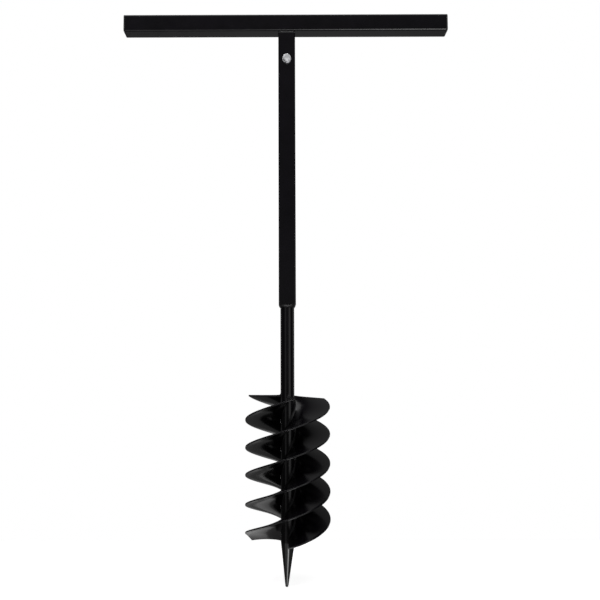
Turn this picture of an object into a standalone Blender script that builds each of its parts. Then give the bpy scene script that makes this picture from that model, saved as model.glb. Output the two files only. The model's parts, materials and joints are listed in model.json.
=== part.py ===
"""Hand soil auger.

A square crossbar handle sits on a square shaft, held by a stub and one cross bolt. The shaft ends
on a thinner round tube, which carries three helical blades and a long point. The three blades are
the same sheet, turned by a third of a circle from one to the next, so together they make a
three-start right-hand screw.

Units are metres. +Z runs up the shaft, the tip of the point is the origin, and the handle lies
along X.
"""
import math

import bmesh
import bpy
from mathutils import Matrix

# Driving dimensions
TOTAL_HEIGHT = 1.040
HANDLE_LENGTH = 0.600
HANDLE_OFFSET = -0.002       # the handle is welded a little off the shaft's axis
SQUARE_SIDE = 0.031
SQUARE_WALL = 0.002
SQUARE_CORNER = 0.003
ROUND_RADIUS = 0.0125
ROUND_WALL = 0.002
GAP = 0.0003                 # left between pieces that touch
ROUND_SEGMENTS = 48

# Blades
BLADE_COUNT = 3
BLADE_RADIUS = 0.0762
BLADE_LEAD = 0.150           # rise of one blade in a full turn
BLADE_SHEET = 0.0025
BLADE_BOTTOM = 0.082
BLADE_TOP = 0.336
BLADE_STEPS = 102
FIRST_BLADE_ANGLE = math.radians(30)
BLADE_HEIGHT = BLADE_TOP - BLADE_BOTTOM
BLADE_TURN = math.tau * BLADE_HEIGHT / BLADE_LEAD
BLADE_ROOT = ROUND_RADIUS + GAP
BLADE_PROFILE = (BLADE_ROOT, 0.022, 0.042, BLADE_RADIUS)
BEAD_RADIUS = 0.0015
BEAD_STEP = math.radians(12)

# Heights along the shaft
HANDLE_BOTTOM = TOTAL_HEIGHT - SQUARE_SIDE
HANDLE_CENTRE = TOTAL_HEIGHT - SQUARE_SIDE / 2
HANDLE_WELD_HEIGHT = 0.0032
SHAFT_TOP = HANDLE_BOTTOM - HANDLE_WELD_HEIGHT - 2 * GAP
SHAFT_BOTTOM = 0.501
SHAFT_WELD_HEIGHT = 0.0045
ROUND_TUBE_TOP = SHAFT_BOTTOM + 0.060
SPIKE_SHOULDER = 0.080
ROUND_TUBE_BOTTOM = SPIKE_SHOULDER + GAP

# Handle stub inside the top of the shaft
STUB_SIDE = 0.025
STUB_LENGTH = 0.095
STUB_CORNER = 0.0025

# Spike
SPIKE_TIP_RADIUS = 0.0028
SPIKE_SPIGOT_RADIUS = ROUND_RADIUS - ROUND_WALL - GAP
SPIKE_SPIGOT_LENGTH = 0.030
SPIKE_BEAD_HEIGHT = 0.0012

# Push-in caps in the handle's ends
CAP_FLANGE = 0.003
CAP_PLUG_DEPTH = 0.020
CAP_PLUG_SIDE = SQUARE_SIDE - 2 * SQUARE_WALL - 2 * GAP
CAP_PLUG_WALL = 0.002
CAP_PLUG_CORNER = 0.0008

# M8 cross bolt, along +Y, head in front
BOLT_HEIGHT = 0.955
BOLT_RADIUS = 0.004
BOLT_HOLE_RADIUS = 0.0045
HEX_FLATS = 0.013
BOLT_HEAD_HEIGHT = 0.0053
BOLT_END_PAST_NUT = 0.0112
WASHER_RADIUS = 0.008
WASHER_HOLE_RADIUS = BOLT_RADIUS + GAP
WASHER_THICKNESS = 0.0016
LOCK_WASHER_RADIUS = 0.0074
LOCK_WASHER_THICKNESS = 0.002
LOCK_WASHER_SLOT = 0.001
NUT_HEIGHT = 0.0065

ALONG_X = (0.0, math.pi / 2, 0.0)
ALONG_Y = (-math.pi / 2, 0.0, 0.0)


def clear_scene():
    for item in list(bpy.data.objects):
        bpy.data.objects.remove(item, do_unlink=True)


def new_collection(name):
    collection = bpy.data.collections.new(name)
    bpy.context.scene.collection.children.link(collection)
    return collection


def new_material(name, colour, roughness, metallic):
    material = bpy.data.materials.new(name)
    material.use_nodes = True
    shader = material.node_tree.nodes["Principled BSDF"]
    shader.inputs["Base Color"].default_value = (*colour, 1.0)
    shader.inputs["Roughness"].default_value = roughness
    shader.inputs["Metallic"].default_value = metallic
    return material


def file_under(item, name, collection, material=None):
    """Name an object, move it to its collection and give it its material."""
    item.name = name
    item.data.name = name
    for owner in list(item.users_collection):
        owner.objects.unlink(item)
    collection.objects.link(item)
    if material:
        item.data.materials.append(material)
    return item


def mark_as_cutter(item):
    item.display_type = "WIRE"
    item.hide_render = True
    return item


def smooth(item, angle=math.radians(35)):
    item.data.shade_smooth()
    item.data.set_sharp_from_angle(angle=angle)


def boolean(item, tool, operation):
    modifier = item.modifiers.new(operation.title(), "BOOLEAN")
    modifier.operation = operation
    modifier.object = tool
    modifier.solver = "EXACT"


def solidify(item, thickness, offset):
    modifier = item.modifiers.new("Wall", "SOLIDIFY")
    modifier.thickness = thickness
    modifier.offset = offset
    modifier.use_even_offset = True


def add_block(size, corner, location, rotation=(0, 0, 0)):
    """A box whose four edges along its own Z are rounded."""
    bpy.ops.mesh.primitive_cube_add(size=1, location=location, rotation=rotation)
    item = bpy.context.object
    item.data.transform(Matrix.Diagonal((*size, 1)))
    shape = bmesh.new()
    shape.from_mesh(item.data)
    upright = [edge for edge in shape.edges
               if abs(edge.verts[0].co.z - edge.verts[1].co.z) > size[2] / 2]
    bmesh.ops.bevel(shape, geom=upright, offset=corner, segments=4, profile=0.5, affect="EDGES")
    shape.to_mesh(item.data)
    shape.free()
    return item


def add_square_tube(side, corner, length, location, rotation=(0, 0, 0)):
    """A square tube: the rounded block's side walls, given a thickness inwards."""
    item = add_block((side, side, length), corner, location, rotation)
    shape = bmesh.new()
    shape.from_mesh(item.data)
    ends = [face for face in shape.faces if abs(face.normal.z) > 0.9]
    bmesh.ops.delete(shape, geom=ends, context="FACES_ONLY")
    shape.to_mesh(item.data)
    shape.free()
    smooth(item)
    solidify(item, SQUARE_WALL, -1)
    return item


def add_cylinder(radius, length, location, rotation=(0, 0, 0), sides=ROUND_SEGMENTS, ends="NGON"):
    bpy.ops.mesh.primitive_cylinder_add(
        vertices=sides, radius=radius, depth=length, location=location,
        rotation=rotation, end_fill_type=ends)
    return bpy.context.object


def add_turned(profile, closed, location=(0, 0, 0), rotation=(0, 0, 0), sides=ROUND_SEGMENTS):
    """Turn (radius, height) points, listed down the outer side, about the object's Z."""
    mesh = bpy.data.meshes.new("turned")
    points = [(radius, 0, height) for radius, height in profile]
    edges = [(i, i + 1) for i in range(len(points) - 1)]
    if closed:
        edges.append((len(points) - 1, 0))
    mesh.from_pydata(points, edges, [])
    item = bpy.data.objects.new("turned", mesh)
    item.location = location
    item.rotation_euler = rotation
    bpy.context.scene.collection.objects.link(item)
    screw = item.modifiers.new("Turn", "SCREW")
    screw.steps = sides
    screw.render_steps = sides
    screw.use_merge_vertices = True
    screw.merge_threshold = 0.00001
    screw.use_smooth_shade = False
    return item


def add_ring(inner, outer, thickness, location, rotation, sides=ROUND_SEGMENTS):
    half = thickness / 2
    profile = ((outer, half), (outer, -half), (inner, -half), (inner, half))
    return add_turned(profile, True, location, rotation, sides)


def rounded_square(half, corner):
    """The distance from the centre to a rounded square's edge, as a function of the angle."""
    centre = half - corner

    def radius(angle):
        x, y = abs(math.cos(angle)), abs(math.sin(angle))
        longer, shorter = max(x, y), min(x, y)
        if half * shorter / longer <= centre:
            return half / longer
        middle = centre * (longer + shorter)
        return middle + math.sqrt(middle * middle - 2 * centre * centre + corner * corner)

    return radius


def circle(radius):
    return lambda angle: radius


def add_lofted_ring(sections, sides=ROUND_SEGMENTS):
    """A ring through sections given as (outline, height), in order round its cross-section:
    down the outer side, then up the inner side."""
    mesh = bpy.data.meshes.new("loft")
    points = []
    for outline, height in sections:
        for i in range(sides):
            angle = math.tau * (i + 0.5) / sides
            reach = outline(angle)
            points.append((reach * math.cos(angle), reach * math.sin(angle), height))
    faces = []
    for row in range(len(sections)):
        below = (row + 1) % len(sections)
        for i in range(sides):
            j = (i + 1) % sides
            faces.append((row * sides + i, below * sides + i, below * sides + j, row * sides + j))
    mesh.from_pydata(points, [], faces)
    item = bpy.data.objects.new("loft", mesh)
    bpy.context.scene.collection.objects.link(item)
    return item


def make_handle(parts, cutters, paint, plastic):
    tube_length = HANDLE_LENGTH - 2 * CAP_FLANGE - 2 * GAP
    bar = add_square_tube(SQUARE_SIDE, SQUARE_CORNER, tube_length,
                          (HANDLE_OFFSET, 0, HANDLE_CENTRE), ALONG_X)
    file_under(bar, "handle_bar", parts, paint)
    for side, name in ((-1, "left"), (1, "right")):
        make_handle_cap(side, name, parts, cutters, plastic)


def make_handle_cap(side, name, parts, cutters, plastic):
    """A plastic cap: a flange as wide as the tube, and a hollow plug that reaches into it."""
    end = HANDLE_LENGTH / 2
    flange_x = HANDLE_OFFSET + side * (end - CAP_FLANGE / 2)
    plug_length = CAP_PLUG_DEPTH + CAP_FLANGE / 2
    plug_x = HANDLE_OFFSET + side * (end - CAP_FLANGE / 2 - plug_length / 2)
    hollow_x = HANDLE_OFFSET + side * (end - CAP_FLANGE - CAP_PLUG_DEPTH / 2 - GAP)
    hollow_side = CAP_PLUG_SIDE - 2 * CAP_PLUG_WALL
    cap = add_block((SQUARE_SIDE, SQUARE_SIDE, CAP_FLANGE), SQUARE_CORNER,
                    (flange_x, 0, HANDLE_CENTRE), ALONG_X)
    file_under(cap, "handle_cap_" + name, parts, plastic)
    plug = add_block((CAP_PLUG_SIDE, CAP_PLUG_SIDE, plug_length), CAP_PLUG_CORNER,
                     (plug_x, 0, HANDLE_CENTRE), ALONG_X)
    mark_as_cutter(file_under(plug, "cap_plug_" + name, cutters))
    hollow = add_block((hollow_side, hollow_side, CAP_PLUG_DEPTH), CAP_PLUG_CORNER / 2,
                       (hollow_x, 0, HANDLE_CENTRE), ALONG_X)
    mark_as_cutter(file_under(hollow, "cap_hollow_" + name, cutters))
    boolean(cap, plug, "UNION")
    boolean(cap, hollow, "DIFFERENCE")


def make_stub(parts, hole, paint):
    top = HANDLE_BOTTOM - GAP
    stub = add_square_tube(STUB_SIDE, STUB_CORNER, STUB_LENGTH, (0, 0, top - STUB_LENGTH / 2))
    file_under(stub, "handle_stub", parts, paint)
    boolean(stub, hole, "DIFFERENCE")
    inner = rounded_square(STUB_SIDE / 2 + GAP, STUB_CORNER)
    outer_top = rounded_square(SQUARE_SIDE / 2 - 0.0005, SQUARE_CORNER)
    outer_bottom = rounded_square(STUB_SIDE / 2 + 0.001, STUB_CORNER)
    weld = add_lofted_ring((
        (outer_top, top),
        (outer_bottom, top - HANDLE_WELD_HEIGHT),
        (inner, top - HANDLE_WELD_HEIGHT),
        (inner, top)))
    file_under(weld, "handle_weld", parts, paint)


def make_shaft(parts, hole, paint):
    length = SHAFT_TOP - SHAFT_BOTTOM
    shaft = add_square_tube(SQUARE_SIDE, SQUARE_CORNER, length,
                            (0, 0, (SHAFT_TOP + SHAFT_BOTTOM) / 2))
    file_under(shaft, "shaft_tube", parts, paint)
    boolean(shaft, hole, "DIFFERENCE")
    top = SHAFT_BOTTOM - GAP
    weld = add_lofted_ring((
        (rounded_square(SQUARE_SIDE / 2 - 0.0004, SQUARE_CORNER), top),
        (rounded_square(SQUARE_SIDE / 2 - 0.0014, SQUARE_CORNER * 2), top - SHAFT_WELD_HEIGHT / 3),
        (circle(BLADE_ROOT + 0.0006), top - SHAFT_WELD_HEIGHT),
        (circle(BLADE_ROOT), top - SHAFT_WELD_HEIGHT),
        (circle(BLADE_ROOT), top)))
    file_under(weld, "shaft_weld", parts, paint)


def make_lower_tube(parts, paint):
    length = ROUND_TUBE_TOP - ROUND_TUBE_BOTTOM
    centre = (ROUND_TUBE_TOP + ROUND_TUBE_BOTTOM) / 2
    tube = add_cylinder(ROUND_RADIUS, length, (0, 0, centre), ends="NOTHING")
    file_under(tube, "lower_tube", parts, paint)
    smooth(tube)
    solidify(tube, ROUND_WALL, -1)


def make_spike(parts, paint):
    """The solid point: a spigot that plugs the round tube, a shoulder, and a long blunt taper."""
    top = SPIKE_SHOULDER + SPIKE_SPIGOT_LENGTH
    profile = [(0, top), (SPIKE_SPIGOT_RADIUS, top), (SPIKE_SPIGOT_RADIUS, SPIKE_SHOULDER),
               (ROUND_RADIUS, SPIKE_SHOULDER), (ROUND_RADIUS, SPIKE_SHOULDER - SPIKE_BEAD_HEIGHT)]
    round_steps = 3
    for i in range(round_steps):
        turn = math.pi / 2 * i / round_steps
        profile.append((SPIKE_TIP_RADIUS * math.cos(turn), SPIKE_TIP_RADIUS * (1 - math.sin(turn))))
    profile.append((0, 0))
    spike = add_turned(profile, False)
    file_under(spike, "spike", parts, paint)


def make_blade(index, parts, paint):
    """One helical sheet: a radial line screwed up the tube, then thickened both ways."""
    mesh = bpy.data.meshes.new("blade")
    points = [(radius, 0, 0) for radius in BLADE_PROFILE]
    mesh.from_pydata(points, [(i, i + 1) for i in range(len(points) - 1)], [])
    blade = bpy.data.objects.new("blade", mesh)
    blade.location = (0, 0, BLADE_BOTTOM)
    blade.rotation_euler = (0, 0, FIRST_BLADE_ANGLE + math.tau * index / BLADE_COUNT)
    file_under(blade, "blade_%d" % (index + 1), parts, paint)
    screw = blade.modifiers.new("Helix", "SCREW")
    screw.angle = BLADE_TURN
    screw.screw_offset = BLADE_HEIGHT
    screw.steps = BLADE_STEPS
    screw.render_steps = BLADE_STEPS
    screw.use_smooth_shade = True
    solidify(blade, BLADE_SHEET, 0)


def make_blade_weld(index, parts, paint):
    """The weld bead along the upper side of a blade's root."""
    radius = ROUND_RADIUS + GAP + BEAD_RADIUS
    rise = BLADE_LEAD / math.tau
    lift = (BLADE_SHEET / 2 + GAP + BEAD_RADIUS) * math.hypot(1, rise / radius)
    steps = round(BLADE_TURN / BEAD_STEP)
    curve = bpy.data.curves.new("bead", "CURVE")
    curve.dimensions = "3D"
    curve.bevel_depth = BEAD_RADIUS
    curve.bevel_resolution = 1
    curve.use_fill_caps = True
    line = curve.splines.new("POLY")
    line.points.add(steps)
    start = FIRST_BLADE_ANGLE + math.tau * index / BLADE_COUNT
    for i, point in enumerate(line.points):
        turn = BLADE_TURN * i / steps
        x = radius * math.cos(start + turn)
        y = radius * math.sin(start + turn)
        point.co = (x, y, BLADE_BOTTOM + rise * turn + lift, 1)
    bead = bpy.data.objects.new("bead", curve)
    file_under(bead, "blade_weld_%d" % (index + 1), parts, paint)


def make_cross_bolt(parts, cutters, zinc):
    """Bolt head and washer in front, washer, spring washer and nut behind, stacked along Y."""
    face = SQUARE_SIDE / 2
    front_washer_y = -face - GAP - WASHER_THICKNESS / 2
    head_y = -face - 2 * GAP - WASHER_THICKNESS - BOLT_HEAD_HEIGHT / 2
    back_washer_y = face + GAP + WASHER_THICKNESS / 2
    lock_washer_y = face + 2 * GAP + WASHER_THICKNESS + LOCK_WASHER_THICKNESS / 2
    nut_y = face + 3 * GAP + WASHER_THICKNESS + LOCK_WASHER_THICKNESS + NUT_HEIGHT / 2
    bolt_end_y = nut_y + NUT_HEIGHT / 2 + BOLT_END_PAST_NUT

    bolt = add_cylinder(HEX_FLATS / math.sqrt(3), BOLT_HEAD_HEIGHT, (0, head_y, BOLT_HEIGHT),
                        ALONG_Y, sides=6)
    file_under(bolt, "cross_bolt", parts, zinc)
    shank_length = bolt_end_y - head_y
    shank = add_cylinder(BOLT_RADIUS, shank_length, (0, head_y + shank_length / 2, BOLT_HEIGHT),
                         ALONG_Y, sides=32)
    mark_as_cutter(file_under(shank, "bolt_shank", cutters))
    boolean(bolt, shank, "UNION")

    front_washer = add_ring(WASHER_HOLE_RADIUS, WASHER_RADIUS, WASHER_THICKNESS,
                            (0, front_washer_y, BOLT_HEIGHT), ALONG_Y, 32)
    file_under(front_washer, "bolt_washer", parts, zinc)
    back_washer = add_ring(WASHER_HOLE_RADIUS, WASHER_RADIUS, WASHER_THICKNESS,
                           (0, back_washer_y, BOLT_HEIGHT), ALONG_Y, 32)
    file_under(back_washer, "nut_washer", parts, zinc)

    lock_washer = add_ring(WASHER_HOLE_RADIUS, LOCK_WASHER_RADIUS, LOCK_WASHER_THICKNESS,
                           (0, lock_washer_y, BOLT_HEIGHT), ALONG_Y, 32)
    file_under(lock_washer, "spring_washer", parts, zinc)
    slot = add_block((LOCK_WASHER_SLOT, 2 * LOCK_WASHER_RADIUS, 2 * LOCK_WASHER_THICKNESS), 0.0001,
                     (0, lock_washer_y, BOLT_HEIGHT + LOCK_WASHER_RADIUS), ALONG_Y)
    mark_as_cutter(file_under(slot, "spring_washer_slot", cutters))
    boolean(lock_washer, slot, "DIFFERENCE")

    nut = add_cylinder(HEX_FLATS / math.sqrt(3), NUT_HEIGHT, (0, nut_y, BOLT_HEIGHT), ALONG_Y,
                       sides=6)
    file_under(nut, "cross_nut", parts, zinc)
    bore = add_cylinder(BOLT_RADIUS + GAP, 2 * NUT_HEIGHT, (0, nut_y, BOLT_HEIGHT), ALONG_Y,
                        sides=32)
    mark_as_cutter(file_under(bore, "nut_bore", cutters))
    boolean(nut, bore, "DIFFERENCE")


def main():
    clear_scene()
    parts = new_collection("soil_auger")
    cutters = new_collection("cutters")
    paint = new_material("black_paint", (0.012, 0.012, 0.013), 0.42, 0.0)
    plastic = new_material("black_plastic", (0.015, 0.015, 0.016), 0.55, 0.0)
    zinc = new_material("zinc_plate", (0.62, 0.63, 0.65), 0.32, 1.0)

    hole = add_cylinder(BOLT_HOLE_RADIUS, 2 * SQUARE_SIDE, (0, 0, BOLT_HEIGHT), ALONG_Y, sides=32)
    mark_as_cutter(file_under(hole, "bolt_hole", cutters))

    make_handle(parts, cutters, paint, plastic)
    make_stub(parts, hole, paint)
    make_shaft(parts, hole, paint)
    make_lower_tube(parts, paint)
    make_spike(parts, paint)
    for index in range(BLADE_COUNT):
        make_blade(index, parts, paint)
        make_blade_weld(index, parts, paint)
    make_cross_bolt(parts, cutters, zinc)


main()
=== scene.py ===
"""The looks of the hand soil auger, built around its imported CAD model.

Every CAD node is replaced by a finer piece in the same place: tubes with smooth rounded corners,
blades with a softened rim, rippled weld beads, a chamfered bolt and nut with a cut thread.
Lengths are in metres, in the CAD model's frame: X along the handle, Y to the back, Z up.
"""

import json
import math

import bmesh
import bpy
from mathutils import Matrix, Vector, noise


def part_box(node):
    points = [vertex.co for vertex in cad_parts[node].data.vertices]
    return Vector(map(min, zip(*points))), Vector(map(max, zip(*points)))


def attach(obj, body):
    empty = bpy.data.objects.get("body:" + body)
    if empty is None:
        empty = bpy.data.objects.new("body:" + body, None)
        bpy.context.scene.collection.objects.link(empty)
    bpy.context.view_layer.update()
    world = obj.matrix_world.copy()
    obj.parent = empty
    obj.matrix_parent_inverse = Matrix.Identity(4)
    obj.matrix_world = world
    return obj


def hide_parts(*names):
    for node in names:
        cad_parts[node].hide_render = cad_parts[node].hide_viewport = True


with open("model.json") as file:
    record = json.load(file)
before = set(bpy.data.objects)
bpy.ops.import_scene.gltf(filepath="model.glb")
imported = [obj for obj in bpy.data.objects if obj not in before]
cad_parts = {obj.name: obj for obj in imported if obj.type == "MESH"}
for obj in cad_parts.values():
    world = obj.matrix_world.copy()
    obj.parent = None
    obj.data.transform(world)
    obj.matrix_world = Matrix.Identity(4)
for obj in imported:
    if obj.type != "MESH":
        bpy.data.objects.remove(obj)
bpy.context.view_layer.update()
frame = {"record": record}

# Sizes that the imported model's boxes don't say

# The tubes, and the gap that touching pieces keep
WALL = 0.002
TUBE_CORNER = 0.003
STUB_CORNER = 0.0025
GAP = 0.0003
# Their softened outer ends: the size, and the profile in shares of it, (height, inset)
SOFT_END = 0.0003
SOFT_PROFILE = ((0.0, 0.7), (0.3, 0.2), (1.0, 0.0))
# Points this far inside the ends of each flat keep its shading flat
FLAT_INSET = 0.0005

# The end caps. The dome is (share of the flange's outline, depth), a rib (depth, share of the plug's)
CAP_FLANGE = 0.003
CAP_PLUG_GAP = 0.0003
CAP_PLUG_CORNER = 0.0008
CAP_HOLLOW_CORNER = 0.0004
CAP_DOME = ((0.25, 0.0), (0.5, 0.00002), (0.85, 0.0001), (0.955, 0.0004), (0.985, 0.0009), (1.0, 0.0018))
CAP_RIBS = 4
CAP_FIRST_RIB = 0.003
CAP_RIB_SPACING = 0.004
CAP_RIB = ((0, 0.985), (0.0012, 1.0), (0.0024, 1.0), (0.003, 0.985))

# The point: where its shoulder is, the straight collar below that, its tip's radius and its lean
SPIKE_SHOULDER = 0.080
SPIKE_COLLAR = 0.0012
SPIKE_TIP = 0.0028
SPIKE_LEAN = -0.0020

# The blades
BLADE_SHEET = 0.0025
BLADE_LEAD = 0.150
RISE = BLADE_LEAD / math.tau
BLADE_TURN = math.radians(609.6)
BLADE_STARTS = (math.radians(30), math.radians(150), math.radians(270))
BLADE_RIM_ROUND = 0.0006
BLADE_INNER = 0.0128
BLADE_OUTER = 0.0762
# How each blade was cut and bent by hand: how far its rim starts late and ends early,
# and how far its lower corner hangs
BLADE_LATE_RIM = (math.radians(10), 0.0, 0.0)
BLADE_EARLY_RIM = (0.0, math.radians(13), 0.0)
BLADE_CORNER_DROP = (0.0, 0.0075, -0.0015)
BLADE_CORNER_TURN = math.radians(22)
# How far above its even place each blade was welded
BLADE_SLIP = (-0.0013, -0.0005, 0.0008)

# The weld beads along the blades' roots: ripples, leg, hollow face, and how much the leg varies
BEAD_RIPPLE = 0.0016
BEAD_STEPS_PER_RIPPLE = 5
BEAD_LEG = 0.0022
BEAD_HOLLOW = 0.275
BEAD_SWELL = 0.12
BEAD_FULLNESS = 1.6
BEAD_NOISE_SCALE = 90
BEAD_NOISE_SHIFT = 7.3

# The welds round the shaft's lower end and under the bar: belly, scallops, and how far their edges
# lie inside the wide tube's sides and outside the thin tube's
COLLAR_BELLY = 0.00018
COLLAR_SCALLOP_DEPTH = 0.00022
COLLAR_SCALLOPS = 24
COLLAR_SCALLOP_BEND = 2.2
SHAFT_WELD_INSET = 0.0004
SHAFT_WELD_FOOT = 0.0006
HANDLE_WELD_INSET = 0.0005
HANDLE_WELD_FOOT = 0.001

# The cross bolt, its nut and its washers. The dish in the head is (radius, depth)
THREAD_PITCH = 0.00125
THREAD_DEPTH = 0.00055
THREAD_LENGTH = 0.022
THREAD_ROWS_PER_TURN = 8
THREAD_LEAD_IN = 0.001
THREAD_LEAD_IN_SLOPE = 0.9
BOLT_RADIUS = 0.004
BOLT_HOLE_RADIUS = 0.0045
HEX_FLATS = 0.013
CHAMFER_RADIUS = HEX_FLATS / 2 * 0.95
CHAMFER_SLOPE = math.tan(math.radians(30))
HEAD_HEIGHT = 0.0053
HEAD_TURN = math.radians(11)
HEAD_DISH = ((0.0006, 0.00028), (0.0036, 0.00028), (0.0042, 0.00008), (0.0047, 0.0))
HEAD_EDGE = 0.0002
HEAD_EDGE_DROP = 0.00003
HEAD_UNDERSIDE = 0.995
SHANK_FILLET = (0.0002, 0.0003)
BORE_RADIUS = 0.0043
NUT_MOUTH = 0.0005
NUT_THREAD_DEPTH = 0.0004
NUT_THREAD_ROWS = 36
WASHER_SOFT = 0.0001
WASHER_ROUND = 0.0004
SPRING_LIFT = 0.0002
SPRING_SLOT = math.radians(6)

# Edges sharper than these stay sharp, in degrees
SHARP = 35
SHARP_BLADE = 40
SHARP_WELD = 60
SHARP_BOLT = 28

# Camera, as the object was seen
CAMERA_PLACE = (-0.0097, -1.3487, 0.3816)
CAMERA_PITCH = 0.0697
CAMERA_ROLL = -0.0019
CAMERA_YAW = -0.0029
CAMERA_LENS = 44.66
CAMERA_SHIFT = (0.0336, 0.0319)

# The black powder coat: its two shades, its orange peel, and its roughness on metal and on welds
PAINT_DARK = (0.0034, 0.0028, 0.0042)
PAINT_LIGHT = (0.0053, 0.0043, 0.0066)
PAINT_PEEL = 0.22
PAINT_ROUGHNESS = (0.14, 0.20)
WELD_ROUGHNESS = (0.32, 0.42)

# The studio's light, as the object sees it. The room is even. The floor's light fades out
# toward the horizon and grows from the back to the front
ROOM_LIGHT = 0.032
FLOOR_LIGHT_FADE = (0.12, 0.62)
FLOOR_LIGHT_TOWARD = (0.4, -0.92, 0)
FLOOR_LIGHT_BACK = 0.0
FLOOR_LIGHT_FRONT = 0.42
# Soft round lights: azimuth, elevation and radius in degrees, then brightness
SOFT_LIGHTS = (
    (37, -4, 24, 0.60),
    (-32, 2, 18, 0.28),
    (0, 26, 24, 0.05),
    (0, 3, 9, 0.10),
    (15, -29, 15, 8.0),
    (-34, -28, 18, 0.6),
    (180, -16, 15, 0.22),
    (-164, -15, 12, 0.30),
    (167, -16, 12, 0.13),
    (150, -7, 12, 2.4),
    (178, 44, 32, 0.09),
    (118, 12, 26, 0.32),
    (-44, 48, 20, 2.2),
    (44, 50, 20, 1.6),
    (-25, -56, 18, 0.65),
    (-128, 14, 26, 0.22),
    (-12, 64, 34, 1.5),
)
# A pool of light on the floor behind the point
POOL_PLACE = (-0.05, 0.138, 0.001)
POOL_SIZE = (0.26, 0.13)
POOL_BRIGHTNESS = 0.27

FLOOR_CENTRE = (0, -0.3, 0)
FLOOR_SIZE = (1.4, 1.3, 1)


def place(node):
    """A CAD node's centre and size."""
    low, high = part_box(node)
    low, high = Vector(low), Vector(high)
    return (low + high) / 2, high - low


# ---------------------------------------------------------------- materials

class Nodes:
    """A material's node tree, with short calls to add nodes and join them."""

    def __init__(self, name):
        self.material = bpy.data.materials.new(name)
        self.material.use_nodes = True
        self.tree = self.material.node_tree
        self.shader = self.tree.nodes["Principled BSDF"]
        self.coordinates = self.add("ShaderNodeTexCoord").outputs["Object"]

    def add(self, kind, **settings):
        node = self.tree.nodes.new(kind)
        for key, value in settings.items():
            setattr(node, key, value)
        return node

    def join(self, output, socket):
        self.tree.links.new(output, socket)

    def noise(self, scale, detail=2.0, roughness=0.5, stretch=None):
        node = self.add("ShaderNodeTexNoise")
        node.inputs["Scale"].default_value = scale
        node.inputs["Detail"].default_value = detail
        node.inputs["Roughness"].default_value = roughness
        source = self.coordinates
        if stretch:
            mapping = self.add("ShaderNodeMapping")
            mapping.inputs["Scale"].default_value = stretch
            self.join(self.coordinates, mapping.inputs["Vector"])
            source = mapping.outputs["Vector"]
        self.join(source, node.inputs["Vector"])
        return node.outputs["Fac"]

    def remap(self, value, low, high, to_low, to_high):
        node = self.add("ShaderNodeMapRange")
        node.inputs["From Min"].default_value = low
        node.inputs["From Max"].default_value = high
        node.inputs["To Min"].default_value = to_low
        node.inputs["To Max"].default_value = to_high
        self.join(value, node.inputs["Value"])
        return node.outputs["Result"]

    def blend(self, amount, first, second):
        node = self.add("ShaderNodeMix", data_type="RGBA")
        node.inputs["A"].default_value = (*first, 1)
        node.inputs["B"].default_value = (*second, 1)
        self.join(amount, node.inputs["Factor"])
        return node.outputs["Result"]

    def bump(self, height, strength, distance, below=None):
        node = self.add("ShaderNodeBump")
        node.inputs["Strength"].default_value = strength
        node.inputs["Distance"].default_value = distance
        self.join(height, node.inputs["Height"])
        if below:
            self.join(below, node.inputs["Normal"])
        return node.outputs["Normal"]

    def set(self, **values):
        for name, value in values.items():
            self.shader.inputs[name.replace("_", " ")].default_value = value


def powder_coat(name, smoothest, roughest):
    """Black powder coat: an even satin skin with a fine orange peel and slow changes of gloss."""
    nodes = Nodes(name)
    tone = nodes.remap(nodes.noise(26, 4, 0.6), 0.35, 0.65, 0, 1)
    nodes.join(nodes.blend(tone, PAINT_DARK, PAINT_LIGHT), nodes.shader.inputs["Base Color"])
    gloss = nodes.remap(nodes.noise(55, 3, 0.55), 0.3, 0.7, smoothest, roughest)
    nodes.join(gloss, nodes.shader.inputs["Roughness"])
    skin = nodes.bump(nodes.noise(750, 2, 0.5), PAINT_PEEL, 0.00012)
    grain = nodes.bump(nodes.noise(2600, 1, 0.5), PAINT_PEEL * 0.5, 0.00004, skin)
    nodes.join(grain, nodes.shader.inputs["Normal"])
    nodes.set(IOR=1.5)
    return nodes.material


def moulded_plastic(name):
    """Black moulded plastic with a fine spark-eroded grain."""
    nodes = Nodes(name)
    tone = nodes.remap(nodes.noise(40, 3), 0.35, 0.65, 0, 1)
    nodes.join(nodes.blend(tone, (0.010, 0.010, 0.011), (0.016, 0.016, 0.017)),
               nodes.shader.inputs["Base Color"])
    gloss = nodes.remap(nodes.noise(300, 2), 0.3, 0.7, 0.48, 0.62)
    nodes.join(gloss, nodes.shader.inputs["Roughness"])
    nodes.join(nodes.bump(nodes.noise(3200, 2), 0.35, 0.00006), nodes.shader.inputs["Normal"])
    return nodes.material


def zinc_plate(name):
    """Bright zinc over turned steel: a soft metal with faint drawing lines and cloudy gloss."""
    nodes = Nodes(name)
    tone = nodes.remap(nodes.noise(420, 4, 0.6), 0.3, 0.7, 0, 1)
    nodes.join(nodes.blend(tone, (0.76, 0.77, 0.79), (0.90, 0.905, 0.92)),
               nodes.shader.inputs["Base Color"])
    gloss = nodes.remap(nodes.noise(900, 3), 0.3, 0.7, 0.42, 0.58)
    nodes.join(gloss, nodes.shader.inputs["Roughness"])
    lines = nodes.bump(nodes.noise(900, 2, 0.5, (1, 0.15, 1)), 0.25, 0.00005)
    nodes.join(lines, nodes.shader.inputs["Normal"])
    nodes.set(Metallic=1.0)
    return nodes.material


def pale_floor(name):
    """A plain matt floor, nearly white."""
    nodes = Nodes(name)
    tone = nodes.remap(nodes.noise(3, 3), 0.3, 0.7, 0, 1)
    nodes.join(nodes.blend(tone, (0.86, 0.86, 0.86), (0.90, 0.90, 0.90)),
               nodes.shader.inputs["Base Color"])
    nodes.set(Roughness=0.9, Emission_Color=(1, 1, 1, 1), Emission_Strength=0.85)
    return nodes.material


# ---------------------------------------------------------------- shapes

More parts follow.
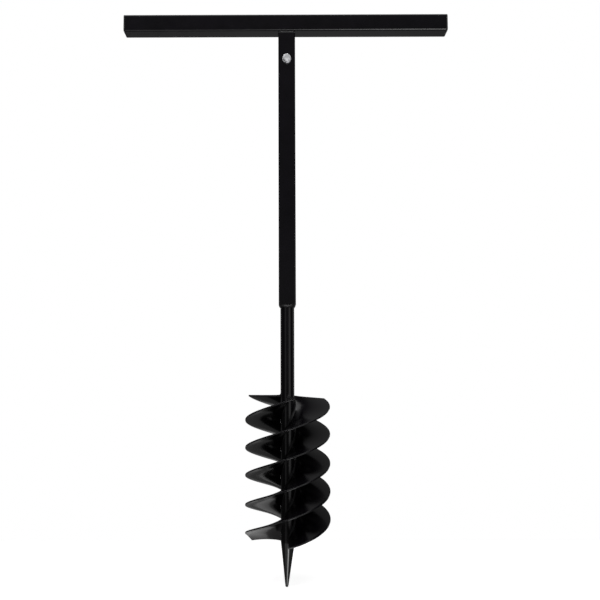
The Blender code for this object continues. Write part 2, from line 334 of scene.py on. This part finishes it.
def rounded_square(half, corner, per_corner=8):
    """A rounded square's outline, counter-clockwise from above, as (x, y) points.

    Each flat has a point just inside each of its ends.
    """
    def slide(point, angle, distance):
        """Move a point along the flat that meets a corner's arc at an angle."""
        return point[0] + distance * math.sin(angle), point[1] - distance * math.cos(angle)

    points = []
    for quarter in range(4):
        middle = math.pi / 4 + math.pi / 2 * quarter
        centre_x = math.copysign(half - corner, math.cos(middle))
        centre_y = math.copysign(half - corner, math.sin(middle))
        arc = []
        for i in range(per_corner + 1):
            angle = math.pi / 2 * (quarter + i / per_corner)
            arc.append((centre_x + corner * math.cos(angle), centre_y + corner * math.sin(angle)))
        points.append(slide(arc[0], math.pi / 2 * quarter, FLAT_INSET))
        points += arc
        points.append(slide(arc[-1], math.pi / 2 * (quarter + 1), -FLAT_INSET))
    return points


def outline(reach, count=96):
    """An outline from a function that gives the distance from the centre at each angle."""
    points = []
    for i in range(count):
        angle = math.tau * i / count
        points.append((reach(angle) * math.cos(angle), reach(angle) * math.sin(angle)))
    return points


def circle(radius, count=96):
    """A circle's outline."""
    return outline(lambda angle: radius, count)


def square_reach(half, corner):
    """The distance to a rounded square's edge, as a function of the angle."""
    centre = half - corner

    def reach(angle):
        x, y = abs(math.cos(angle)), abs(math.sin(angle))
        longer, shorter = max(x, y), min(x, y)
        if half * shorter / longer <= centre:
            return half / longer
        middle = centre * (longer + shorter)
        return middle + math.sqrt(middle * middle - 2 * centre * centre + corner * corner)

    return reach


def hex_reach(angle):
    """The distance to the edge of the bolt's and the nut's hexagon."""
    sixth = math.pi / 3
    return HEX_FLATS / 2 / math.cos((angle + sixth / 2) % sixth - sixth / 2)


def loft(name, rings, closed, cap=False):
    """A mesh through rings of equal length. Closed joins the last ring to the first."""
    count = len(rings[0])
    points = [point for ring in rings for point in ring]
    faces = []
    for row in range(len(rings) if closed else len(rings) - 1):
        after = (row + 1) % len(rings)
        for i in range(count):
            j = (i + 1) % count
            faces.append((row * count + i, row * count + j, after * count + j, after * count + i))
    if cap:
        faces.append(tuple(reversed(range(count))))
        faces.append(tuple(range((len(rings) - 1) * count, len(rings) * count)))
    mesh = bpy.data.meshes.new(name)
    mesh.from_pydata(points, [], faces)
    shape = bmesh.new()
    shape.from_mesh(mesh)
    bmesh.ops.recalc_face_normals(shape, faces=shape.faces)
    shape.to_mesh(mesh)
    shape.free()
    return mesh


def add_piece(mesh, material, node, matrix=None, sharp=SHARP):
    """Make a mesh the piece that stands for a CAD node, on that node's body."""
    if matrix:
        mesh.transform(matrix)
    piece = bpy.data.objects.new(node + "_piece", mesh)
    bpy.context.scene.collection.objects.link(piece)
    mesh.materials.append(material)
    mesh.shade_smooth()
    mesh.set_sharp_from_angle(angle=math.radians(sharp))
    body = next(body for body, nodes in frame["record"]["behaviour"]["bodies"].items() if node in nodes)
    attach(piece, body)
    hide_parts(node)
    return piece


def tube_mesh(name, outer, inner, length):
    """A tube from z = 0 to length between two outlines, with softened outer ends."""
    reach = max(x for x, y in outer)

    def outer_ring(z, inset=0.0):
        shrink = 1 - SOFT_END * inset / reach
        return [(x * shrink, y * shrink, z) for x, y in outer]

    profile = [(SOFT_END * height, inset) for height, inset in SOFT_PROFILE]
    rings = [outer_ring(height, inset) for height, inset in profile]
    rings.append(outer_ring(SOFT_END + FLAT_INSET))
    rings.append(outer_ring(length - SOFT_END - FLAT_INSET))
    rings += [outer_ring(length - height, inset) for height, inset in reversed(profile)]
    rings += [[(x, y, z) for x, y in inner] for z in (length, 0)]
    return loft(name, rings, True)


def make_handle(paint, plastic):
    """The crossbar, a square tube along X, and its two end caps."""
    centre, size = place("handle_bar")
    half = size.z / 2
    mesh = tube_mesh("handle_bar", rounded_square(half, TUBE_CORNER),
                     rounded_square(half - WALL, TUBE_CORNER - WALL), size.x)
    turn = Matrix.Rotation(math.pi / 2, 4, "Y")
    start = Matrix.Translation((centre.x - size.x / 2, 0, centre.z))
    add_piece(mesh, paint, "handle_bar", matrix=start @ turn)
    for side, name in ((-1, "handle_cap_left"), (1, "handle_cap_right")):
        make_cap(name, side, plastic)


def make_cap(name, side, plastic):
    """A push-in cap: a softly domed flange over a ribbed hollow plug."""
    centre, size = place(name)
    half = size.z / 2
    flange_outline = rounded_square(half, TUBE_CORNER)
    plug_outline = rounded_square(half - WALL - 2 * CAP_PLUG_GAP, CAP_PLUG_CORNER)
    hollow_outline = rounded_square(half - 2 * WALL - 2 * CAP_PLUG_GAP, CAP_HOLLOW_CORNER)
    rings = []
    for share, depth in CAP_DOME:
        rings.append([(x * share, y * share, -depth) for x, y in flange_outline])
    rings.append([(x, y, -CAP_FLANGE) for x, y in flange_outline])
    rings.append([(x, y, -CAP_FLANGE) for x, y in plug_outline])
    for rib in range(CAP_RIBS):
        start = CAP_FLANGE + CAP_FIRST_RIB + rib * CAP_RIB_SPACING
        for depth, share in CAP_RIB:
            rings.append([(x * share, y * share, -start - depth) for x, y in plug_outline])
    rings.append([(x, y, -size.x) for x, y in plug_outline])
    rings.append([(x, y, -size.x) for x, y in hollow_outline])
    rings.append([(x, y, -CAP_FLANGE) for x, y in hollow_outline])
    mesh = loft(name, rings, False, cap=True)
    turn = Matrix.Rotation(math.pi / 2 * side, 4, "Y")
    end = centre.x + side * size.x / 2
    add_piece(mesh, plastic, name, matrix=Matrix.Translation((end, 0, centre.z)) @ turn)


def cut_bolt_hole(piece, height):
    """Drill the cross bolt's hole through a piece, along Y."""
    bpy.ops.mesh.primitive_cylinder_add(vertices=64, radius=BOLT_HOLE_RADIUS, depth=0.06,
                                        location=(0, 0, height), rotation=(math.pi / 2, 0, 0))
    drill = bpy.context.object
    modifier = piece.modifiers.new("Hole", "BOOLEAN")
    modifier.object = drill
    modifier.solver = "EXACT"
    modifier.operation = "DIFFERENCE"
    bpy.context.view_layer.update()
    depsgraph = bpy.context.evaluated_depsgraph_get()
    cut = bpy.data.meshes.new_from_object(piece.evaluated_get(depsgraph))
    piece.modifiers.clear()
    piece.data = cut
    bpy.data.objects.remove(drill)
    cut.shade_smooth()
    cut.set_sharp_from_angle(angle=math.radians(SHARP))


def make_square_tube(node, corner, paint, bolt_height):
    """An upright square tube with the cross bolt's hole through it."""
    centre, size = place(node)
    half = size.x / 2
    mesh = tube_mesh(node, rounded_square(half, corner), rounded_square(half - WALL, corner - WALL),
                     size.z)
    piece = add_piece(mesh, paint, node, matrix=Matrix.Translation((0, 0, centre.z - size.z / 2)))
    cut_bolt_hole(piece, bolt_height)


def make_lower_tube(paint):
    """The round tube that carries the blades."""
    centre, size = place("lower_tube")
    mesh = tube_mesh("lower_tube", circle(size.x / 2), circle(size.x / 2 - WALL), size.z)
    add_piece(mesh, paint, "lower_tube", matrix=Matrix.Translation((0, 0, centre.z - size.z / 2)))


def make_spike(paint):
    """The point: forged round, leaning a little, with a softened shoulder and a blunt tip."""
    centre, size = place("spike")
    radius = size.x / 2
    top = centre.z + size.z / 2
    spigot = radius - WALL - GAP
    start = SPIKE_SHOULDER - SPIKE_COLLAR
    profile = [(spigot - 2 * SOFT_END, top), (spigot, top - 2 * SOFT_END), (spigot, SPIKE_SHOULDER),
               (radius - SOFT_END, SPIKE_SHOULDER), (radius, SPIKE_SHOULDER - SOFT_END), (radius, start)]
    rows = 24
    for i in range(1, rows):
        share = i / rows
        profile.append((radius + (SPIKE_TIP - radius) * share, start + (SPIKE_TIP - start) * share))
    round_steps = 6
    for i in range(round_steps):
        turn = math.pi / 2 * i / round_steps
        profile.append((SPIKE_TIP * math.cos(turn), SPIKE_TIP * (1 - math.sin(turn))))
    rings = []
    for reach, z in profile:
        lean = SPIKE_LEAN * max(0, 1 - z / SPIKE_SHOULDER)
        rings.append([(x + lean, y, z) for x, y in circle(reach)])
    mesh = loft("spike", rings, False, cap=True)
    add_piece(mesh, paint, "spike")


def blade_section():
    """The sheet's outline in the radial plane: (radius, offset across the sheet) points."""
    half = BLADE_SHEET / 2
    steps = 16
    round_steps = 4
    flat = BLADE_OUTER - BLADE_RIM_ROUND - BLADE_INNER
    upper = [(BLADE_INNER + flat * i / steps, half) for i in range(steps + 1)]
    for i in range(1, round_steps + 1):
        turn = math.pi / 2 * i / round_steps
        radius = BLADE_OUTER - BLADE_RIM_ROUND * (1 - math.sin(turn))
        upper.append((radius, half - BLADE_RIM_ROUND * (1 - math.cos(turn))))
    return upper + [(radius, -offset) for radius, offset in reversed(upper)]


def helix_point(radius, offset, turn, start, bottom):
    """A point on a blade. The offset is across the sheet, so it lifts more near the root."""
    lift = offset * math.hypot(1, RISE / radius)
    angle = start + turn
    return (radius * math.cos(angle), radius * math.sin(angle), bottom + RISE * turn + lift)


def blade_bottom(index):
    """The height where a blade's root starts."""
    middle = place("blade_%d" % (index + 1))[0].z
    return middle - RISE * BLADE_TURN / 2 + BLADE_SLIP[index]


def make_blade(index, paint):
    """One helical sheet. Its ends are not quite square to the shaft."""
    node = "blade_%d" % (index + 1)
    start = BLADE_STARTS[index]
    bottom = blade_bottom(index)
    section = blade_section()
    steps = 306
    rings = []
    for i in range(steps + 1):
        share = i / steps
        ring = []
        for radius, offset in section:
            reach = (radius - BLADE_INNER) / (BLADE_OUTER - BLADE_INNER)
            turn = BLADE_TURN * share + reach * (
                BLADE_LATE_RIM[index] * (1 - share) - BLADE_EARLY_RIM[index] * share)
            bend = max(0.0, 1 - (turn - reach * BLADE_LATE_RIM[index]) / BLADE_CORNER_TURN)
            x, y, z = helix_point(radius, offset, turn, start, bottom)
            ring.append((x, y, z - BLADE_CORNER_DROP[index] * reach * reach * bend * bend))
        rings.append(ring)
    mesh = loft(node, rings, False, cap=True)
    add_piece(mesh, paint, node, sharp=SHARP_BLADE)


def make_blade_weld(index, paint):
    """The bead along a blade's root: overlapping ripples, a little uneven."""
    node = "blade_weld_%d" % (index + 1)
    bottom = blade_bottom(index)
    points_round = 6
    length = BLADE_TURN * math.hypot(BLADE_INNER, RISE)
    steps = int(length / BEAD_RIPPLE * BEAD_STEPS_PER_RIPPLE)
    rings = []
    for i in range(steps + 1):
        along = length * i / steps
        turn = BLADE_TURN * i / steps
        unevenness = noise.noise(Vector((along * BEAD_NOISE_SCALE, index * BEAD_NOISE_SHIFT, 0)))
        swell = 1 + BEAD_SWELL * math.sin(math.pi * (along / BEAD_RIPPLE % 1))
        swell += BEAD_SWELL * unevenness
        ring = [(BLADE_INNER, BLADE_SHEET / 2)]
        for k in range(points_round + 1):
            bend = math.pi / 2 * k / points_round
            sink = 1 - BEAD_HOLLOW * math.sin(2 * bend) ** 2
            ring.append((BLADE_INNER + BEAD_LEG * swell * math.cos(bend) ** BEAD_FULLNESS * sink,
                         BLADE_SHEET / 2 + BEAD_LEG * swell * math.sin(bend) ** BEAD_FULLNESS * sink))
        rings.append([helix_point(radius, offset, turn, BLADE_STARTS[index], bottom)
                      for radius, offset in ring])
    mesh = loft(node, rings, False, cap=True)
    add_piece(mesh, paint, node, sharp=SHARP_WELD)


def make_collar_weld(node, top_reach, bottom_reach, inner_reach, paint):
    """A rippled weld round a tube, from one outline down to another."""
    centre, size = place(node)
    low = centre.z - size.z / 2
    count = 384
    rows = 10

    def bead_ring(share):
        belly = math.sin(math.pi * share)

        def reach(angle):
            straight = top_reach(angle) * (1 - share) + bottom_reach(angle) * share
            scallop = abs(math.sin(COLLAR_SCALLOPS * angle + COLLAR_SCALLOP_BEND * share * share))
            return straight + belly * (COLLAR_BELLY + COLLAR_SCALLOP_DEPTH * scallop)

        return [(x, y, low + size.z * (1 - share)) for x, y in outline(reach, count)]

    rings = [bead_ring(row / rows) for row in range(rows + 1)]
    for height in (low, low + size.z):
        rings.append([(x, y, height) for x, y in outline(inner_reach, count)])
    add_piece(loft(node, rings, True), paint, node, sharp=SHARP_WELD)


def make_welds(paint):
    """The weld under the shaft, round the round tube, and the one under the bar, round the stub."""
    half = place("shaft_tube")[1].x / 2
    stub = place("handle_stub")[1].x / 2
    round_reach = place("lower_tube")[1].x / 2
    make_collar_weld("shaft_weld",
                     square_reach(half - SHAFT_WELD_INSET, TUBE_CORNER),
                     lambda angle: round_reach + GAP + SHAFT_WELD_FOOT,
                     lambda angle: round_reach + GAP,
                     paint)
    make_collar_weld("handle_weld",
                     square_reach(half - HANDLE_WELD_INSET, TUBE_CORNER),
                     square_reach(stub + HANDLE_WELD_FOOT, STUB_CORNER),
                     square_reach(stub + GAP, STUB_CORNER),
                     paint)


def along_bolt(start, height):
    """The frame of a piece on the bolt: its Z runs from the head to the nut."""
    return Matrix.Translation((0, start, height)) @ Matrix.Rotation(-math.pi / 2, 4, "X")


def thread(depth, height, angle):
    """How deep the thread is cut at a height and angle: none at the crest, depth at the root."""
    phase = (height / THREAD_PITCH - angle / math.tau) % 1
    return depth * (1 - abs(2 * phase - 1))


def hex_ring(height, side):
    """The hexagon where it meets its chamfer, which cuts the corners most."""
    ring = []
    for x, y in outline(hex_reach):
        drop = (math.hypot(x, y) - CHAMFER_RADIUS) * CHAMFER_SLOPE
        ring.append((x, y, height + side * drop))
    return ring


def flat_ring(radius, height):
    """A level circle."""
    return [(x, y, height) for x, y in circle(radius)]


def make_bolt(zinc):
    """The cross bolt: a chamfered head with a shallow dish, a shank and a rolled thread."""
    centre, size = place("cross_bolt")
    fillet_out, fillet_along = SHANK_FILLET
    rings = [flat_ring(radius, height) for radius, height in HEAD_DISH]
    rings += [flat_ring(CHAMFER_RADIUS - HEAD_EDGE, 0.0), flat_ring(CHAMFER_RADIUS, HEAD_EDGE_DROP)]
    rings.append(hex_ring(0.0, 1))
    rings.append([(x * HEAD_UNDERSIDE, y * HEAD_UNDERSIDE, HEAD_HEIGHT) for x, y in outline(hex_reach)])
    rings.append(flat_ring(BOLT_RADIUS + fillet_out, HEAD_HEIGHT))
    rings.append(flat_ring(BOLT_RADIUS, HEAD_HEIGHT + fillet_along))
    thread_start = size.y - THREAD_LENGTH
    rings.append(flat_ring(BOLT_RADIUS, thread_start - THREAD_PITCH))
    rows = int(THREAD_LENGTH / THREAD_PITCH * THREAD_ROWS_PER_TURN)

    def thread_ring(height):
        depth = THREAD_DEPTH * min(1, max(0, (height - thread_start) / THREAD_PITCH))
        lead_in = max(0, height - (size.y - THREAD_LEAD_IN)) * THREAD_LEAD_IN_SLOPE

        def reach(angle):
            return min(BOLT_RADIUS - thread(depth, height, angle), BOLT_RADIUS - lead_in)

        return [(x, y, height) for x, y in outline(reach)]

    rings += [thread_ring(thread_start + THREAD_LENGTH * row / rows) for row in range(rows + 1)]
    mesh = loft("cross_bolt", rings, False, cap=True)
    turned = along_bolt(centre.y - size.y / 2, centre.z) @ Matrix.Rotation(HEAD_TURN, 4, "Z")
    add_piece(mesh, zinc, "cross_bolt", matrix=turned, sharp=SHARP_BOLT)


def make_nut(zinc):
    """The hexagon nut, chamfered on both faces, with its thread inside."""
    centre, size = place("cross_nut")
    height = size.y
    mouth = BORE_RADIUS + NUT_MOUTH
    rings = [flat_ring(mouth, 0), flat_ring(CHAMFER_RADIUS, 0), hex_ring(0, 1),
             hex_ring(height, -1), flat_ring(CHAMFER_RADIUS, height), flat_ring(mouth, height)]

    def thread_ring(level):
        def reach(angle):
            return BORE_RADIUS + NUT_THREAD_DEPTH - thread(NUT_THREAD_DEPTH, level, angle)

        return [(x, y, level) for x, y in outline(reach)]

    for row in range(NUT_THREAD_ROWS + 1):
        rings.append(thread_ring(height - NUT_MOUTH - (height - 2 * NUT_MOUTH) * row / NUT_THREAD_ROWS))
    mesh = loft("cross_nut", rings, True)
    add_piece(mesh, zinc, "cross_nut", matrix=along_bolt(centre.y - height / 2, centre.z), sharp=SHARP_BOLT)


def make_washer(node, zinc):
    """A stamped flat washer: one outer edge is rounded, the other sharp."""
    centre, size = place(node)
    outer = size.x / 2
    thick = size.y
    profile = ((BORE_RADIUS, WASHER_SOFT), (BORE_RADIUS + WASHER_SOFT, 0), (outer - WASHER_ROUND, 0),
               (outer - WASHER_SOFT, WASHER_SOFT), (outer, WASHER_ROUND), (outer, thick - WASHER_SOFT),
               (outer - WASHER_SOFT, thick), (BORE_RADIUS, thick))
    rings = [flat_ring(radius, height) for radius, height in profile]
    mesh = loft(node, rings, True)
    add_piece(mesh, zinc, node, matrix=along_bolt(centre.y - thick / 2, centre.z))


def make_spring_washer(zinc):
    """The split spring washer: a flattened coil of one turn, its two ends a little apart."""
    node = "spring_washer"
    centre, size = place(node)
    outer = size.x / 2
    thick = size.y
    low = SPRING_LIFT
    high = thick - SPRING_LIFT
    section = ((BORE_RADIUS, low + WASHER_SOFT), (BORE_RADIUS + WASHER_SOFT, low),
               (outer - WASHER_SOFT, low), (outer, low + WASHER_SOFT),
               (outer, high - WASHER_SOFT), (outer - WASHER_SOFT, high),
               (BORE_RADIUS + WASHER_SOFT, high), (BORE_RADIUS, high - WASHER_SOFT))
    steps = 96
    rings = []
    for i in range(steps + 1):
        share = i / steps
        angle = -math.pi / 2 + SPRING_SLOT + (math.tau - 2 * SPRING_SLOT) * share
        wave = SPRING_LIFT * (2 * share - 1)
        rings.append([(radius * math.cos(angle), radius * math.sin(angle), z + wave)
                      for radius, z in section])
    mesh = loft(node, rings, False, cap=True)
    add_piece(mesh, zinc, node, matrix=along_bolt(centre.y - thick / 2, centre.z))


def make_auger():
    """Every piece, in its material."""
    paint = powder_coat("black_powder_coat", *PAINT_ROUGHNESS)
    weld_paint = powder_coat("black_powder_coat_on_welds", *WELD_ROUGHNESS)
    plastic = moulded_plastic("black_plastic")
    zinc = zinc_plate("zinc_plate")
    bolt_height = place("cross_bolt")[0].z
    make_handle(paint, plastic)
    make_square_tube("shaft_tube", TUBE_CORNER, paint, bolt_height)
    make_square_tube("handle_stub", STUB_CORNER, paint, bolt_height)
    make_lower_tube(paint)
    make_spike(paint)
    for index in range(len(BLADE_STARTS)):
        make_blade(index, paint)
        make_blade_weld(index, weld_paint)
    make_welds(weld_paint)
    make_bolt(zinc)
    make_nut(zinc)
    make_washer("bolt_washer", zinc)
    make_washer("nut_washer", zinc)
    make_spring_washer(zinc)


# ---------------------------------------------------------------- stage

def make_camera():
    """The camera, at the angle from which the object was seen."""
    data = bpy.data.cameras.new("camera")
    data.lens = CAMERA_LENS
    data.sensor_width = 36
    data.shift_x, data.shift_y = CAMERA_SHIFT
    data.clip_start = 0.01
    data.clip_end = 50
    camera = bpy.data.objects.new("camera", data)
    bpy.context.scene.collection.objects.link(camera)
    camera.matrix_world = (
        Matrix.Translation(CAMERA_PLACE)
        @ Matrix.Rotation(-CAMERA_YAW, 4, "Z")
        @ Matrix.Rotation(math.pi / 2 + CAMERA_PITCH, 4, "X")
        @ Matrix.Rotation(CAMERA_ROLL, 4, "Z"))
    bpy.context.scene.camera = camera


class Surroundings:
    """The studio round the object: soft areas of light, each given by where it lies."""

    def __init__(self, tree):
        self.tree = tree
        self.direction = tree.nodes.new("ShaderNodeTexCoord").outputs["Generated"]
        self.total = None

    def combine(self, operation, first, second):
        """A maths node on an output and either another output or a number."""
        node = self.tree.nodes.new("ShaderNodeMath")
        node.operation = operation
        self.tree.links.new(first, node.inputs[0])
        if isinstance(second, float):
            node.inputs[1].default_value = second
        else:
            self.tree.links.new(second, node.inputs[1])
        return node.outputs["Value"]

    def toward(self, direction):
        """1 where the view points along a direction, down to -1 where it points away from it."""
        node = self.tree.nodes.new("ShaderNodeVectorMath")
        node.operation = "DOT_PRODUCT"
        node.inputs[1].default_value = Vector(direction).normalized()
        self.tree.links.new(self.direction, node.inputs[0])
        return node.outputs["Value"]

    def ramp(self, value, low, high, to_low, to_high, kind="SMOOTHSTEP"):
        """A value's range mapped to another, clamped at both ends."""
        node = self.tree.nodes.new("ShaderNodeMapRange")
        node.interpolation_type = kind
        for name, number in (("From Min", low), ("From Max", high),
                             ("To Min", to_low), ("To Max", to_high)):
            node.inputs[name].default_value = number
        self.tree.links.new(value, node.inputs["Value"])
        return node.outputs["Result"]

    def add_floor_light(self):
        """The bright floor below the object, brighter toward the front."""
        below = self.ramp(self.toward((0, 0, -1)), *FLOOR_LIGHT_FADE, 0, 1)
        nearer = self.ramp(self.toward(FLOOR_LIGHT_TOWARD), -1, 1, FLOOR_LIGHT_BACK, FLOOR_LIGHT_FRONT,
                           "LINEAR")
        self.total = self.combine("MULTIPLY", below, nearer)

    def add_soft_light(self, azimuth, elevation, radius, brightness):
        """A round soft light: azimuth 0 is the camera's side and grows to the right."""
        turn, lift = math.radians(azimuth), math.radians(elevation)
        level = math.cos(lift)
        direction = (level * math.sin(turn), -level * math.cos(turn), math.sin(lift))
        edge = math.cos(math.radians(radius))
        light = self.ramp(self.toward(direction), edge, 1, 0, brightness)
        self.total = self.combine("ADD", self.total, light)


def make_world():
    """White to the camera. To the object: a dim room, a bright floor and a few soft lights."""
    world = bpy.data.worlds.new("studio")
    bpy.context.scene.world = world
    world.use_nodes = True
    tree = world.node_tree
    tree.nodes.clear()
    room = Surroundings(tree)
    room.add_floor_light()
    room.total = room.combine("ADD", room.total, ROOM_LIGHT)
    for azimuth, elevation, radius, brightness in SOFT_LIGHTS:
        room.add_soft_light(azimuth, elevation, radius, brightness)
    path = tree.nodes.new("ShaderNodeLightPath")
    white = tree.nodes.new("ShaderNodeBackground")
    lit = tree.nodes.new("ShaderNodeBackground")
    for background in (white, lit):
        background.inputs["Color"].default_value = (1, 1, 1, 1)
    tree.links.new(room.total, lit.inputs["Strength"])
    mix = tree.nodes.new("ShaderNodeMixShader")
    output = tree.nodes.new("ShaderNodeOutputWorld")
    tree.links.new(path.outputs["Is Camera Ray"], mix.inputs["Fac"])
    tree.links.new(lit.outputs["Background"], mix.inputs[1])
    tree.links.new(white.outputs["Background"], mix.inputs[2])
    tree.links.new(mix.outputs["Shader"], output.inputs["Surface"])


def add_pool():
    """A soft ellipse of light lying on the floor, facing up."""
    data = bpy.data.lights.new("pool", "AREA")
    data.shape = "ELLIPSE"
    data.size, data.size_y = POOL_SIZE
    # A lamp's radiance is its energy over four times its area
    data.energy = 4 * POOL_BRIGHTNESS * POOL_SIZE[0] * POOL_SIZE[1] * math.pi / 4
    light = bpy.data.objects.new("pool", data)
    bpy.context.scene.collection.objects.link(light)
    light.location = POOL_PLACE
    light.rotation_euler = (math.pi, 0, 0)
    light.visible_camera = False


def make_stage():
    """The floor, the world and the pool of light. The floor's own glow doesn't light the object."""
    bpy.ops.mesh.primitive_plane_add(size=1, location=FLOOR_CENTRE)
    floor = bpy.context.object
    floor.name = "floor"
    floor.scale = FLOOR_SIZE
    floor.data.materials.append(pale_floor("pale_floor"))
    floor.visible_glossy = False
    floor.visible_diffuse = False
    make_world()
    add_pool()
    bpy.context.scene.view_settings.view_transform = "Standard"


make_camera()
make_stage()
make_auger()
